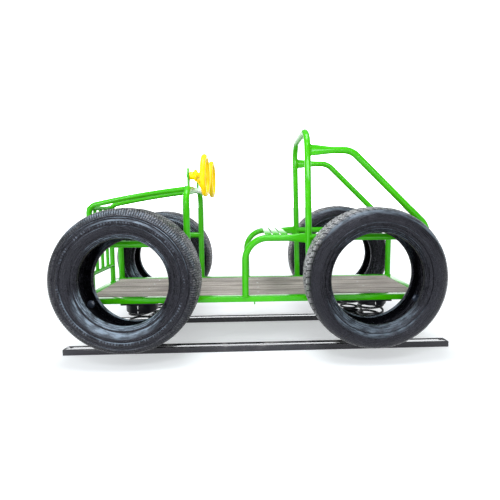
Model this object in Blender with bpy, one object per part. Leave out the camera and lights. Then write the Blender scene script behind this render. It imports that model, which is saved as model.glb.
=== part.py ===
"""Spring rider for two children, shaped like an open off-road car.

Metres, +Z up. The car's front points along -X, near is -Y and far is +Y.
Two floor rails hold four coil springs. The springs carry a platform with a deck, a frame of bent tubes,
a slatted bench, four real tyres bolted to its sides and two toy steering wheels.
The whole car rocks about rock_axis and bounces on its springs; each steering wheel turns on its bolt.
"""

import math

import bmesh
import bpy
from mathutils import Matrix, Vector

GAP = 0.0003  # clearance between two pieces that touch
NEAR, FAR = -1, 1
SIDES = (("near", NEAR), ("far", FAR))

# Floor frame
BASE_LENGTH = 1.850
BASE_RAIL_WIDTH = 0.050
BASE_RAIL_HEIGHT = 0.028
BASE_OUTER_Y = 0.2325
ANCHOR_HOLE_X = 0.893
ANCHOR_HOLE_RADIUS = 0.0065
CROSS_PLATE_WIDTH = 0.160
CROSS_PLATE_TOP = 0.036
CROSS_PLATE_Y = 0.240

# Springs
SPRING_X = (("front", -0.570), ("rear", 0.553))
SPRING_Y = 0.165
COIL_RADIUS = 0.0605
WIRE_RADIUS = 0.0055
COIL_BOTTOM = 0.0418
COIL_TOP = 0.2172
COIL_TURNS = 5.2
RING_RADII = (0.0695, 0.074)
RING_TOP = 0.058
CLAMP_RADII = (0.0692, 0.073)
CLAMP_BOTTOM = {"front": 0.197, "rear": 0.2145}
CLAMP_CEILING = 0.2312
CLAMP_SLIT = 0.004
ROCK_AXIS = (-0.0085, 0.0, 0.130)

# Deck
SPRING_PLATE_BOTTOM = 0.2347
SPRING_PLATE_TOP = 0.2427
DECK_BOTTOM = 0.243
DECK_TOP = 0.268
DECK_X = (-0.842, 0.809)
DECK_RAIL_WIDTH = 0.038
DECK_OUTER_Y = 0.2365
PLANK_BOTTOM = 0.248
PLANK_COUNT = 4
PLANK_GAP = 0.003
BEARERS = (("front", -0.570), ("middle", -0.009), ("rear", 0.553))
BEARER_WIDTH = 0.040

# Frame of bent tubes
TUBE_RADIUS = 0.0155
LEG_Y = 0.225
FOOT = DECK_TOP + GAP
DASH_X = -0.338
DASH_TOP = 0.776
DASH_BEND = 0.070
ROLL_X = 0.235  # at the deck
ROLL_LEAN = 0.021  # forward for each metre up
ROLL_TOP = 1.046
ROLL_BEND = 0.095
SEAT_POST_X = -0.070
SEAT_TUBE_Z = 0.545
SEAT_BEND = 0.107
SEAT_FLAT = (0.098, 0.015, 0.045, 0.012)  # flattened end: starts, is full, height, thickness
REAR_POST_X = 0.794
REAR_RAIL_Z = 0.547
STAY_RADIUS = 0.016
STAY_Z = {"near": 0.950, "far": 0.938}
STAY_CORNER_X = {"near": 0.425, "far": 0.411}
STAY_FOOT_CORNER_Z = {"near": 0.597, "far": 0.571}
STAY_BEND = 0.090
STAY_FLAT = (0.120, 0.010, 0.050, 0.012)
FRONT_POST_X = -0.810
FRONT_RAIL_Z = 0.521
FRONT_BEND = 0.060

# Bonnet and grille
HOOD_RADIUS = 0.0125
HOOD_BACK = (DASH_X, 0.165, 0.777)
HOOD_CORNER = (-0.820, 0.126, 0.696)
HOOD_FOOT_X = -0.822
HOOD_ARCH = 0.0072
HOOD_BEND = 0.045
GRILLE_X = -0.821
GRILLE_TOP_Z = 0.684
GRILLE_BOTTOM_Z = 0.363
GRILLE_RAIL_RADIUS = 0.010
GRILLE_BAR_RADIUS = 0.008
GRILLE_BAR_PITCH = 0.063

# Bench
SLAT_FIRST_X = 0.0225
SLAT_WIDTH = 0.032
SLAT_PITCH = 0.0375
SLAT_THICKNESS = 0.005
SLAT_COUNT = 3
SLAT_END_Y = 0.2275

# Steering
STEERING_Y = 0.142
STEERING_Z = 0.840
PLATE_X = (-0.343, -0.335)
PLATE_WIDTH = 0.040
PLATE_Z = (0.7918, 0.8757)
PLATE_CORNER = 0.012
WHEEL_PLANE_X = -0.260
WHEEL_RADIUS = 0.102
RIM_HALF_DEPTH = 0.013
RIM_HALF_WIDTH = 0.013
SPOKE_WIDTH = 0.026
SPOKE_THICKNESS = 0.010
SPOKE_ROOT = (0.008, -0.040)  # distance from the axis and from the wheel's plane
SPOKE_TIP = (0.086, -0.002)
SPOKE_ANGLES = (-90, 0, 90)  # from straight down, in degrees
STEERING_BOLT_RADIUS = 0.006
STEERING_BOLT_END_X = -0.300
STEERING_HEAD_RADIUS = 0.011

# Tyres: place, tread radius, bead radius and bolt spacing of each
TYRES = {
    "front_near": (-0.573, NEAR, 0.379, 0.311, 0.1854, 0.1925),
    "front_far": (-0.573, FAR, 0.3754, 0.283, 0.1775, 0.180),
    "rear_near": (0.503, NEAR, 0.379, 0.311, 0.2019, 0.235),
    "rear_far": (0.503, FAR, 0.379, 0.311, 0.2019, 0.235),
}
TYRE_Y = 0.333
# Half a tyre's section: share of the way from bead to tread, distance from its middle plane
TYRE_OUTSIDE = ((0.0, 0.050), (0.05, 0.068), (0.4745, 0.090), (0.793, 0.083), (0.95, 0.066), (1.0, 0.035))
TYRE_INSIDE = ((0.87, 0.035), (0.80, 0.070), (0.4745, 0.0815), (0.12, 0.056))
TYRE_BOLT_Z = 0.2555
TYRE_BOLT_RADIUS = 0.005
TYRE_HEAD_RADIUS = 0.018
TYRE_SPACER_RADIUS = 0.009
RAIL_BORE_DEPTH = 0.022

# Mesh fineness
TUBE_SIDES = 12
ARC_STEP = math.radians(18)
TYRE_STEPS = 28
CUP_STEPS = 20
BOLT_STEPS = 8
COIL_STEPS = 10
WIRE_SIDES = 5

# Colour, roughness and metallic value of each finish
FINISHES = {
    "green_powder_coat": ((0.09, 0.58, 0.03), 0.32, 0.0),
    "black_powder_coat": ((0.02, 0.02, 0.025), 0.40, 0.0),
    "spring_paint": ((0.025, 0.024, 0.028), 0.42, 0.0),
    "rubber": ((0.020, 0.021, 0.026), 0.70, 0.0),
    "yellow_plastic": ((0.90, 0.62, 0.02), 0.38, 0.0),
    "composite_plank": ((0.42, 0.38, 0.34), 0.80, 0.0),
    "zinc_steel": ((0.60, 0.60, 0.60), 0.35, 1.0),
}


def clear_scene():
    for obj in list(bpy.data.objects):
        bpy.data.objects.remove(obj, do_unlink=True)


def finish_for(obj, finish):
    """Gives the object a Principled BSDF material of its own, in one of the finishes."""
    colour, roughness, metallic = FINISHES[finish]
    made = bpy.data.materials.new(f"{obj.name}_{finish}")
    made.use_nodes = True
    shader = made.node_tree.nodes["Principled BSDF"]
    shader.inputs["Base Color"].default_value = (*colour, 1.0)
    shader.inputs["Roughness"].default_value = roughness
    shader.inputs["Metallic"].default_value = metallic
    obj.data.materials.append(made)


def empty_at(name, place, parent=None):
    empty = bpy.data.objects.new(name, None)
    bpy.context.collection.objects.link(empty)
    empty.location = place
    keep_place(empty, parent)
    return empty


def keep_place(obj, parent):
    """Parents the object and leaves it where it stands."""
    if parent is None:
        return
    bpy.context.view_layer.update()
    obj.parent = parent
    obj.matrix_parent_inverse = parent.matrix_world.inverted()


def solid(name, bm, finish=None, parent=None, place=(0.0, 0.0, 0.0)):
    """An object from a closed mesh. One with no finish is a helper for a Boolean, and isn't rendered."""
    bmesh.ops.recalc_face_normals(bm, faces=bm.faces)
    mesh = bpy.data.meshes.new(name)
    bm.to_mesh(mesh)
    bm.free()
    obj = bpy.data.objects.new(name, mesh)
    bpy.context.collection.objects.link(obj)
    obj.location = place
    keep_place(obj, parent)
    if finish is None:
        obj.hide_render = True
        obj.display_type = "WIRE"
    else:
        finish_for(obj, finish)
    return obj


def combine(obj, operation, *helpers):
    for helper in helpers:
        modifier = obj.modifiers.new(f"{operation.lower()}_{helper.name}", "BOOLEAN")
        modifier.operation = operation
        modifier.solver = "EXACT"
        modifier.object = helper


def box(low, high):
    """A block between two opposite corners."""
    bm = bmesh.new()
    bmesh.ops.create_cube(bm, size=1.0)
    low, high = Vector(low), Vector(high)
    bm.transform(Matrix.Translation((low + high) / 2) @ Matrix.Diagonal((*(high - low), 1.0)))
    return bm


def revolve(profile, steps):
    """(radius, height) points turned about Z. A profile off the axis closes on itself and makes a ring."""
    bm = bmesh.new()
    rings = []
    for radius, height in profile:
        count = steps if radius > 0 else 1
        angles = [2 * math.pi * k / steps for k in range(count)]
        rings.append([bm.verts.new((radius * math.cos(a), radius * math.sin(a), height)) for a in angles])
    pairs = list(zip(rings, rings[1:]))
    if profile[0][0] > 0:
        pairs.append((rings[-1], rings[0]))
    for first, second in pairs:
        for k in range(steps):
            corners = [
                first[k % len(first)],
                first[(k + 1) % steps % len(first)],
                second[(k + 1) % steps % len(second)],
                second[k % len(second)],
            ]
            bm.faces.new(list(dict.fromkeys(corners)))
    return bm


def turned(bm, axis, place=(0.0, 0.0, 0.0)):
    """Moves a shape built about Z so that it stands about another axis, at a place."""
    aim = Vector((0, 0, 1)).rotation_difference(Vector(axis)).to_matrix().to_4x4()
    bm.transform(Matrix.Translation(place) @ aim)
    return bm


def rod(radius, start, end, steps=BOLT_STEPS):
    """A round bar from one point to another."""
    start, end = Vector(start), Vector(end)
    length = (end - start).length
    profile = [(0, 0), (radius, 0), (radius, length), (0, length)]
    return turned(revolve(profile, steps), end - start, start)


def rounded(points, bends):
    """The polyline through the points, with each inner corner bent to its radius."""
    points = [Vector(point) for point in points]
    path = [points[0]]
    for before, corner, after, radius in zip(points, points[1:], points[2:], bends):
        if not radius:
            path.append(corner)
            continue
        back = (before - corner).normalized()
        on = (after - corner).normalized()
        turn = math.pi - back.angle(on)
        centre = corner + (back + on).normalized() * radius / math.cos(turn / 2)
        start = corner + back * radius * math.tan(turn / 2) - centre
        end = corner + on * radius * math.tan(turn / 2) - centre
        steps = max(2, round(turn / ARC_STEP))
        for k in range(steps + 1):
            spin = Matrix.Rotation(turn * k / steps, 3, start.cross(end))
            path.append(centre + spin @ start)
    return path + [points[-1]]


def tube(path, radius, across=(0, 1, 0), flat=None):
    """A bar swept along a path. across is square to the bends' plane.
    flat squeezes the bar's last stretch: where that starts and is full, from the end, then its height and thickness."""
    path = [Vector(point) for point in path]
    if flat:
        starts, full, tall, thick = flat
        last = (path[-1] - path[-2]).normalized()
        cuts = [starts, (2 * starts + full) / 3, (starts + 2 * full) / 3, full]
        path[-1:] = [path[-1] - last * cut for cut in cuts] + [path[-1]]
    bm = bmesh.new()
    rings = []
    for k, point in enumerate(path):
        before = (point - path[k - 1]).normalized() if k else Vector()
        after = (path[k + 1] - point).normalized() if k + 1 < len(path) else Vector()
        ahead = (before + after).normalized()
        side = Vector(across) - ahead * ahead.dot(Vector(across))
        side.normalize()
        up = ahead.cross(side)
        half_side = half_up = radius
        if flat:
            share = min(1.0, max(0.0, (starts - (path[-1] - point).length) / (starts - full)))
            share = share * share * (3 - 2 * share)
            half_side += (thick / 2 - radius) * share
            half_up += (tall / 2 - radius) * share
        ring = []
        for n in range(TUBE_SIDES):
            angle = 2 * math.pi * n / TUBE_SIDES
            offset = side * half_side * math.cos(angle) + up * half_up * math.sin(angle)
            ring.append(bm.verts.new(point + offset))
        rings.append(ring)
    join_rings(bm, rings)
    return bm


def join_rings(bm, rings):
    """Skins neighbouring rings of points and caps both ends."""
    for first, second in zip(rings, rings[1:]):
        for n in range(len(first)):
            following = (n + 1) % len(first)
            bm.faces.new((first[n], first[following], second[following], second[n]))
    bm.faces.new(rings[0])
    bm.faces.new(rings[-1])


def coil(x, y):
    """One coil spring, its wire square-cut at both ends."""
    bm = bmesh.new()
    rings = []
    count = round(COIL_TURNS * COIL_STEPS)
    for k in range(count + 1):
        angle = 2 * math.pi * COIL_TURNS * k / count
        out = Vector((math.cos(angle), math.sin(angle), 0))
        rise = (COIL_TOP - COIL_BOTTOM) / COIL_TURNS / (2 * math.pi)
        ahead = Vector((-math.sin(angle) * COIL_RADIUS, math.cos(angle) * COIL_RADIUS, rise)).normalized()
        up = ahead.cross(out)
        centre = Vector((x, y, COIL_BOTTOM + (COIL_TOP - COIL_BOTTOM) * k / count)) + out * COIL_RADIUS
        ring = []
        for n in range(WIRE_SIDES):
            turn = 2 * math.pi * n / WIRE_SIDES
            ring.append(bm.verts.new(centre + WIRE_RADIUS * (out * math.cos(turn) + up * math.sin(turn))))
        rings.append(ring)
    join_rings(bm, rings)
    return bm


def build_base():
    """Two floor rails, and a plate across them under each pair of springs."""
    for side, sign in SIDES:
        inner = BASE_OUTER_Y - BASE_RAIL_WIDTH
        low_y, high_y = sorted((sign * inner, sign * BASE_OUTER_Y))
        half = BASE_LENGTH / 2
        rail = solid(
            f"base_rail_{side}",
            box((-half, low_y, 0), (half, high_y, BASE_RAIL_HEIGHT)),
            "black_powder_coat",
        )
        for end, x in (("front", -ANCHOR_HOLE_X), ("rear", ANCHOR_HOLE_X)):
            y = (low_y + high_y) / 2
            hole = rod(ANCHOR_HOLE_RADIUS, (x, y, -0.01), (x, y, BASE_RAIL_HEIGHT + 0.01), 12)
            combine(rail, "DIFFERENCE", solid(f"cut_anchor_{end}_{side}", hole))
    for end, x in SPRING_X:
        low = (x - CROSS_PLATE_WIDTH / 2, -CROSS_PLATE_Y, BASE_RAIL_HEIGHT + GAP)
        high = (x + CROSS_PLATE_WIDTH / 2, CROSS_PLATE_Y, CROSS_PLATE_TOP)
        plate = solid(f"base_cross_plate_{end}", box(low, high), "black_powder_coat")
        inner, outer = RING_RADII
        bottom = CROSS_PLATE_TOP - 0.004
        for side, sign in SIDES:
            profile = [(inner, bottom), (outer, bottom), (outer, RING_TOP), (inner, RING_TOP)]
            ring = turned(revolve(profile, CUP_STEPS), (0, 0, 1), (x, sign * SPRING_Y, 0))
            combine(plate, "UNION", solid(f"join_ring_{end}_{side}", ring))


def build_springs(rock):
    for end, x in SPRING_X:
        for side, sign in SIDES:
            solid(f"spring_{end}_{side}", coil(x, sign * SPRING_Y), "spring_paint", rock)


def build_spring_tops(platform):
    """A plate over each pair of springs, and a clamp in two halves round the top of each spring."""
    inner, outer = CLAMP_RADII
    top = SPRING_PLATE_BOTTOM - GAP
    for end, x in SPRING_X:
        low = (x - CROSS_PLATE_WIDTH / 2, -BASE_OUTER_Y, SPRING_PLATE_BOTTOM)
        high = (x + CROSS_PLATE_WIDTH / 2, BASE_OUTER_Y, SPRING_PLATE_TOP)
        solid(f"spring_plate_{end}", box(low, high), "black_powder_coat", platform)
        bottom = CLAMP_BOTTOM[end]
        for side, sign in SIDES:
            y = sign * SPRING_Y
            profile = [(0, top), (outer, top), (outer, bottom), (inner, bottom)]
            profile += [(inner, CLAMP_CEILING), (0, CLAMP_CEILING)]
            cup = turned(revolve(profile, CUP_STEPS), (0, 0, 1), (x, y, 0))
            clamp = solid(f"spring_top_clamp_{end}_{side}", cup, "black_powder_coat", platform)
            slit = box(
                (x - CLAMP_SLIT / 2, y - outer - 0.01, bottom - 0.01),
                (x + CLAMP_SLIT / 2, y + outer + 0.01, CLAMP_CEILING - 0.004),
            )
            combine(clamp, "DIFFERENCE", solid(f"cut_clamp_{end}_{side}", slit))


def build_deck(platform):
    """Four box rails round four planks, which lie on three flat bearers."""
    green = "green_powder_coat"
    inner_y = DECK_OUTER_Y - DECK_RAIL_WIDTH
    front, rear = DECK_X
    for side, sign in SIDES:
        low_y, high_y = sorted((sign * inner_y, sign * DECK_OUTER_Y))
        rail = solid(
            f"deck_rail_{side}",
            box((front, low_y, DECK_BOTTOM), (rear, high_y, DECK_TOP)),
            green,
            platform,
        )
        for name, (x, tyre_sign, _, _, _, spacing) in TYRES.items():
            if tyre_sign != sign:
                continue
            for place, bolt_x in (("front", x - spacing), ("rear", x + spacing)):
                bore = rod(
                    TYRE_BOLT_RADIUS + GAP,
                    (bolt_x, sign * (DECK_OUTER_Y + 0.01), TYRE_BOLT_Z),
                    (bolt_x, sign * (DECK_OUTER_Y - RAIL_BORE_DEPTH), TYRE_BOLT_Z),
                )
                combine(rail, "DIFFERENCE", solid(f"cut_rail_{name}_{place}", bore))
    reach = inner_y - GAP
    for end, low_x in (("front", front), ("rear", rear - DECK_RAIL_WIDTH)):
        low = (low_x, -reach, DECK_BOTTOM)
        high = (low_x + DECK_RAIL_WIDTH, reach, DECK_TOP)
        solid(f"deck_rail_{end}", box(low, high), green, platform)
    for name, x in BEARERS:
        low = (x - BEARER_WIDTH / 2, -reach, DECK_BOTTOM)
        high = (x + BEARER_WIDTH / 2, reach, PLANK_BOTTOM - GAP)
        solid(f"deck_bearer_{name}", box(low, high), "black_powder_coat", platform)
    pitch = (2 * reach + PLANK_GAP) / PLANK_COUNT
    for k in range(PLANK_COUNT):
        low_y = -reach + k * pitch
        low = (front + DECK_RAIL_WIDTH + GAP, low_y, PLANK_BOTTOM)
        high = (rear - DECK_RAIL_WIDTH - GAP, low_y + pitch - PLANK_GAP, DECK_TOP)
        solid(f"deck_plank_{k + 1}", box(low, high), "composite_plank", platform)


def roll_x(z):
    """Where the leaning roll bar's centre line is at a height."""
    return ROLL_X - ROLL_LEAN * (z - DECK_TOP)


def hoop(foot_x, top_x, top_z, bend):
    """Both legs and the top of a hoop across the car. A leaning leg's square end stands clear of the rail."""
    foot = FOOT + abs(top_x - foot_x) / (top_z - FOOT) * TUBE_RADIUS
    corners = [(foot_x, -LEG_Y, foot), (top_x, -LEG_Y, top_z), (top_x, LEG_Y, top_z), (foot_x, LEG_Y, foot)]
    return rounded(corners, (bend, bend))


def build_frame(platform):
    """The bent tubes from bumper to tail. A tube that ends on another is coped round it."""
    green = "green_powder_coat"
    across = (1, 0, 0)
    dash_path = hoop(DASH_X, DASH_X, DASH_TOP, DASH_BEND)
    roll_path = hoop(ROLL_X, roll_x(ROLL_TOP), ROLL_TOP, ROLL_BEND)
    solid("dash_hoop", tube(dash_path, TUBE_RADIUS, across), green, platform)
    solid("roll_bar", tube(roll_path, TUBE_RADIUS, across), green, platform)
    cut_dash = solid("cut_dash_hoop", tube(dash_path, TUBE_RADIUS + GAP, across))
    cut_roll = solid("cut_roll_bar", tube(roll_path, TUBE_RADIUS + GAP, across))
    for side, sign in SIDES:
        y = sign * LEG_Y
        seat_corners = [
            (SEAT_POST_X, y, FOOT),
            (SEAT_POST_X, y, SEAT_TUBE_Z),
            (roll_x(SEAT_TUBE_Z), y, SEAT_TUBE_Z),
        ]
        seat = solid(
            f"seat_loop_{side}",
            tube(rounded(seat_corners, (SEAT_BEND,)), TUBE_RADIUS, flat=SEAT_FLAT),
            green,
            platform,
        )
        stay_corners = [
            (REAR_POST_X, y, FOOT),
            (REAR_POST_X, y, STAY_FOOT_CORNER_Z[side]),
            (STAY_CORNER_X[side], y, STAY_Z[side]),
            (roll_x(STAY_Z[side]), y, STAY_Z[side]),
        ]
        stay_path = rounded(stay_corners, (STAY_BEND, STAY_BEND))
        stay = solid(f"back_stay_{side}", tube(stay_path, STAY_RADIUS, flat=STAY_FLAT), green, platform)
        cut_post = solid(f"cut_rear_post_{side}", tube(stay_path, STAY_RADIUS + GAP))
        rear_ends = (roll_x(REAR_RAIL_Z), y, REAR_RAIL_Z), (REAR_POST_X, y, REAR_RAIL_Z)
        rear = solid(f"rear_side_rail_{side}", tube(rear_ends, TUBE_RADIUS), green, platform)
        front_corners = [(FRONT_POST_X, y, FOOT), (FRONT_POST_X, y, FRONT_RAIL_Z), (DASH_X, y, FRONT_RAIL_Z)]
        front_path = rounded(front_corners, (FRONT_BEND,))
        front = solid(f"front_side_rail_{side}", tube(front_path, TUBE_RADIUS), green, platform)
        combine(seat, "DIFFERENCE", cut_roll)
        combine(stay, "DIFFERENCE", cut_roll)
        combine(rear, "DIFFERENCE", cut_roll, cut_post)
        combine(front, "DIFFERENCE", cut_dash)
    build_bonnet(platform, cut_dash)
    bottom = SEAT_TUBE_Z + TUBE_RADIUS + GAP
    for k in range(SLAT_COUNT):
        x = SLAT_FIRST_X + k * SLAT_PITCH
        slat = box((x, -SLAT_END_Y, bottom), (x + SLAT_WIDTH, SLAT_END_Y, bottom + SLAT_THICKNESS))
        solid(f"seat_slat_{k + 1}", slat, green, platform)


def build_bonnet(platform, cut_dash):
    """Two tubes from the dash hoop forward and down to the bumper rail, with the grille between them."""
    green = "green_powder_coat"
    cut_posts = []
    for side, sign in SIDES:
        back, corner = Vector(HOOD_BACK), Vector(HOOD_CORNER)
        arch = []
        for k in range(6):
            share = k / 5
            point = back.lerp(corner, share)
            point.z += 4 * HOOD_ARCH * share * (1 - share)
            arch.append(Vector((point.x, sign * point.y, point.z)))
        points = arch + [(HOOD_FOOT_X, sign * corner.y, FOOT)]
        path = rounded(points, (0, 0, 0, 0, HOOD_BEND))
        hood = solid(f"hood_tube_{side}", tube(path, HOOD_RADIUS), green, platform)
        combine(hood, "DIFFERENCE", cut_dash)
        cut_posts.append(solid(f"cut_hood_{side}", tube(path, HOOD_RADIUS + GAP)))
    half = HOOD_CORNER[1]
    top = tube([(GRILLE_X, -half, GRILLE_TOP_Z), (GRILLE_X, half, GRILLE_TOP_Z)], GRILLE_RAIL_RADIUS, (1, 0, 0))
    grille = solid("front_grille", top, green, platform)
    bottom_ends = (GRILLE_X, -half, GRILLE_BOTTOM_Z), (GRILLE_X, half, GRILLE_BOTTOM_Z)
    bottom = solid("join_grille_bottom", tube(bottom_ends, GRILLE_RAIL_RADIUS, (1, 0, 0)))
    combine(grille, "UNION", bottom)
    for k in (-1, 0, 1):
        y = k * GRILLE_BAR_PITCH
        ends = (GRILLE_X, y, GRILLE_BOTTOM_Z), (GRILLE_X, y, GRILLE_TOP_Z)
        combine(grille, "UNION", solid(f"join_grille_bar_{k + 2}", tube(ends, GRILLE_BAR_RADIUS)))
    combine(grille, "DIFFERENCE", *cut_posts)


def steering_wheel():
    """The wheel about Z with its plane at zero: a blind-bored hub below the plane, the rim and three dished spokes."""
    base = PLATE_X[1] + GAP - WHEEL_PLANE_X
    floor = STEERING_BOLT_END_X + GAP - WHEEL_PLANE_X
    bore = STEERING_BOLT_RADIUS + GAP
    profile = [(0, floor), (bore, floor), (bore, base), (0.020, base), (0.020, -0.051), (0.030, -0.048)]
    profile += [(0.030, -0.041), (0.022, -0.036), (0.012, -0.030), (0, -0.028)]
    middle = WHEEL_RADIUS - RIM_HALF_WIDTH
    section = []
    for k in range(8):
        angle = 2 * math.pi * k / 8
        section.append((middle + RIM_HALF_WIDTH * math.cos(angle), RIM_HALF_DEPTH * math.sin(angle)))
    root = Vector((SPOKE_ROOT[0], 0, SPOKE_ROOT[1]))
    along = Vector((SPOKE_TIP[0], 0, SPOKE_TIP[1])) - root
    tilt = Matrix.Rotation(-math.atan2(along.z, along.x), 4, "Y")
    spokes = []
    for angle in SPOKE_ANGLES:
        half = SPOKE_THICKNESS / 2
        spoke = box((0, -SPOKE_WIDTH / 2, -half), (along.length, SPOKE_WIDTH / 2, half))
        spoke.transform(Matrix.Rotation(math.radians(angle), 4, "Z") @ Matrix.Translation(root) @ tilt)
        spokes.append(spoke)
    return revolve(profile, 16), revolve(section, 28), spokes


def build_steering(platform):
    """A plate on the dash hoop, a bolt through it and a toy wheel that turns on the bolt, for each seat."""
    for side, sign in SIDES:
        y = sign * STEERING_Y
        upright = box(
            (PLATE_X[0], y - PLATE_WIDTH / 2, PLATE_Z[0]),
            (PLATE_X[1], y + PLATE_WIDTH / 2, PLATE_Z[1]),
        )
        corners = [e for e in upright.edges if all(v.co.z > STEERING_Z for v in e.verts)]
        corners = [e for e in corners if abs(e.verts[0].co.x - e.verts[1].co.x) > 0.001]
        bmesh.ops.bevel(upright, geom=corners, offset=PLATE_CORNER, segments=3, affect="EDGES", profile=0.5)
        plate = solid(f"steering_plate_{side}", upright, "green_powder_coat", platform)
        hole_ends = (PLATE_X[0] - 0.01, y, STEERING_Z), (PLATE_X[1] + 0.01, y, STEERING_Z)
        hole = solid(f"cut_steering_{side}", rod(STEERING_BOLT_RADIUS + GAP, *hole_ends, 16))
        combine(plate, "DIFFERENCE", hole)
        head, shank = STEERING_HEAD_RADIUS, STEERING_BOLT_RADIUS
        under = PLATE_X[0] - GAP
        length = STEERING_BOLT_END_X - under
        profile = [(0, -0.010), (0.6 * head, -0.0085), (0.93 * head, -0.005), (head, 0), (shank, 0)]
        profile += [(shank, length), (0, length)]
        bolt = turned(revolve(profile, 16), (1, 0, 0), (under, y, STEERING_Z))
        solid(f"steering_bolt_{side}", bolt, "zinc_steel", platform)
        boss, rim, spokes = steering_wheel()
        place = (WHEEL_PLANE_X, y, STEERING_Z)
        wheel = solid(f"steering_wheel_{side}", turned(boss, (1, 0, 0)), "yellow_plastic", platform, place)
        combine(wheel, "UNION", solid(f"join_rim_{side}", turned(rim, (1, 0, 0)), place=place))
        for k, spoke in enumerate(spokes):
            helper = solid(f"join_spoke_{side}_{k + 1}", turned(spoke, (1, 0, 0)), place=place)
            combine(wheel, "UNION", helper)


def tyre_section(tread, bead):
    """The closed C of a tyre's section as (radius, distance from its middle plane), from one toe to the other."""
    outside = [(bead + share * (tread - bead), half) for share, half in TYRE_OUTSIDE]
    inside = [(bead + share * (tread - bead), half) for share, half in TYRE_INSIDE]
    profile = outside + [(radius, -half) for radius, half in reversed(outside)]
    profile += [(radius, -half) for radius, half in reversed(inside)]
    return profile + inside


def half_widths(points, tread, bead, radius, reach):
    """Distances from the tyre's middle plane to one side of its wall, all over a disc pressed on it.
    A radius on the faceted wall belongs to a profile point that lies up to one facet's rise further out."""
    found = []
    high_radius = (radius + reach) / math.cos(math.pi / TYRE_STEPS)
    for k in range(9):
        share = (radius - reach + (high_radius - radius + reach) * k / 8 - bead) / (tread - bead)
        for (low, low_half), (high, high_half) in zip(points, points[1:]):
            if low <= share <= high:
                found.append(low_half + (high_half - low_half) * (share - low) / (high - low))
    return found


def build_tyres(platform):
    """Four tyres with no rims, bolted flat against the deck rails through their inner sidewalls."""
    for name, (x, sign, z, tread, bead, spacing) in TYRES.items():
        ring = turned(revolve(tyre_section(tread, bead), TYRE_STEPS), (0, sign, 0), (x, sign * TYRE_Y, z))
        tyre = solid(f"tyre_{name}", ring, "rubber", platform)
        reach = math.hypot(spacing, z - TYRE_BOLT_Z)
        outer_half = max(half_widths(TYRE_OUTSIDE, tread, bead, reach, TYRE_SPACER_RADIUS))
        inner_half = min(half_widths(TYRE_INSIDE[::-1], tread, bead, reach, TYRE_HEAD_RADIUS))
        spacer_end = TYRE_Y - outer_half - GAP
        head_start = TYRE_Y - inner_half + GAP
        profile = [
            (0, DECK_OUTER_Y - RAIL_BORE_DEPTH + 0.002),
            (TYRE_BOLT_RADIUS, DECK_OUTER_Y - RAIL_BORE_DEPTH + 0.002),
            (TYRE_BOLT_RADIUS, DECK_OUTER_Y + GAP),
            (TYRE_SPACER_RADIUS, DECK_OUTER_Y + GAP),
            (TYRE_SPACER_RADIUS, spacer_end),
            (TYRE_BOLT_RADIUS, spacer_end),
            (TYRE_BOLT_RADIUS, head_start),
            (TYRE_HEAD_RADIUS, head_start),
            (0.93 * TYRE_HEAD_RADIUS, head_start + 0.004),
            (0.6 * TYRE_HEAD_RADIUS, head_start + 0.0065),
            (0, head_start + 0.0075),
        ]
        for place, bolt_x in (("front", x - spacing), ("rear", x + spacing)):
            bolt = turned(revolve(profile, BOLT_STEPS), (0, sign, 0), (bolt_x, 0, TYRE_BOLT_Z))
            solid(f"tyre_bolt_{name}_{place}", bolt, "zinc_steel", platform)
            hole_ends = (bolt_x, sign * (TYRE_Y - 0.12), TYRE_BOLT_Z), (bolt_x, sign * TYRE_Y, TYRE_BOLT_Z)
            hole = solid(f"cut_tyre_{name}_{place}", rod(TYRE_BOLT_RADIUS + GAP, *hole_ends))
            combine(tyre, "DIFFERENCE", hole)


def main():
    clear_scene()
    rock = empty_at("rock_axis", ROCK_AXIS)
    platform = empty_at("bounce_axis", ROCK_AXIS, rock)
    build_base()
    build_springs(rock)
    build_spring_tops(platform)
    build_deck(platform)
    build_frame(platform)
    build_steering(platform)
    build_tyres(platform)


main()
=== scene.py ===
"""Looks of a spring rider shaped like an open car. Metres, +Z up, the car's front along -X."""

import math

import bmesh
import bpy
import numpy as np
from mathutils import Matrix, Vector


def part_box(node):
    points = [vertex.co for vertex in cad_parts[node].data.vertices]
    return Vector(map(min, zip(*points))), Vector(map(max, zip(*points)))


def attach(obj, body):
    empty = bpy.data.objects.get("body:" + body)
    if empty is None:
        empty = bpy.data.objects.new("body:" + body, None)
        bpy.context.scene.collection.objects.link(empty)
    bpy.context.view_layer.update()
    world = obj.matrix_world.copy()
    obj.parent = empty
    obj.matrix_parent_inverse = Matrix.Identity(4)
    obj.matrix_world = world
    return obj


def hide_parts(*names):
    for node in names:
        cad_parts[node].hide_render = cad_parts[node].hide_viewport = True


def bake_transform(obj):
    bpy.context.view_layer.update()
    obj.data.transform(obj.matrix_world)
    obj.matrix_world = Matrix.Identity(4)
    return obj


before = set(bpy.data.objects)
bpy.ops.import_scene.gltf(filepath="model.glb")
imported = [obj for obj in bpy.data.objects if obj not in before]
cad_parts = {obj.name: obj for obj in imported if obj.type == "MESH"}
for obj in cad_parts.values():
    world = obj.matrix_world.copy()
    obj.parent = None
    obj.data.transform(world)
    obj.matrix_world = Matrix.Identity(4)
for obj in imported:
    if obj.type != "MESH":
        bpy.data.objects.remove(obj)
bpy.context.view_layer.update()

NEAR, FAR = -1, 1
SIDES = (("near", NEAR), ("far", FAR))
ENDS = ("front", "rear")

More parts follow.
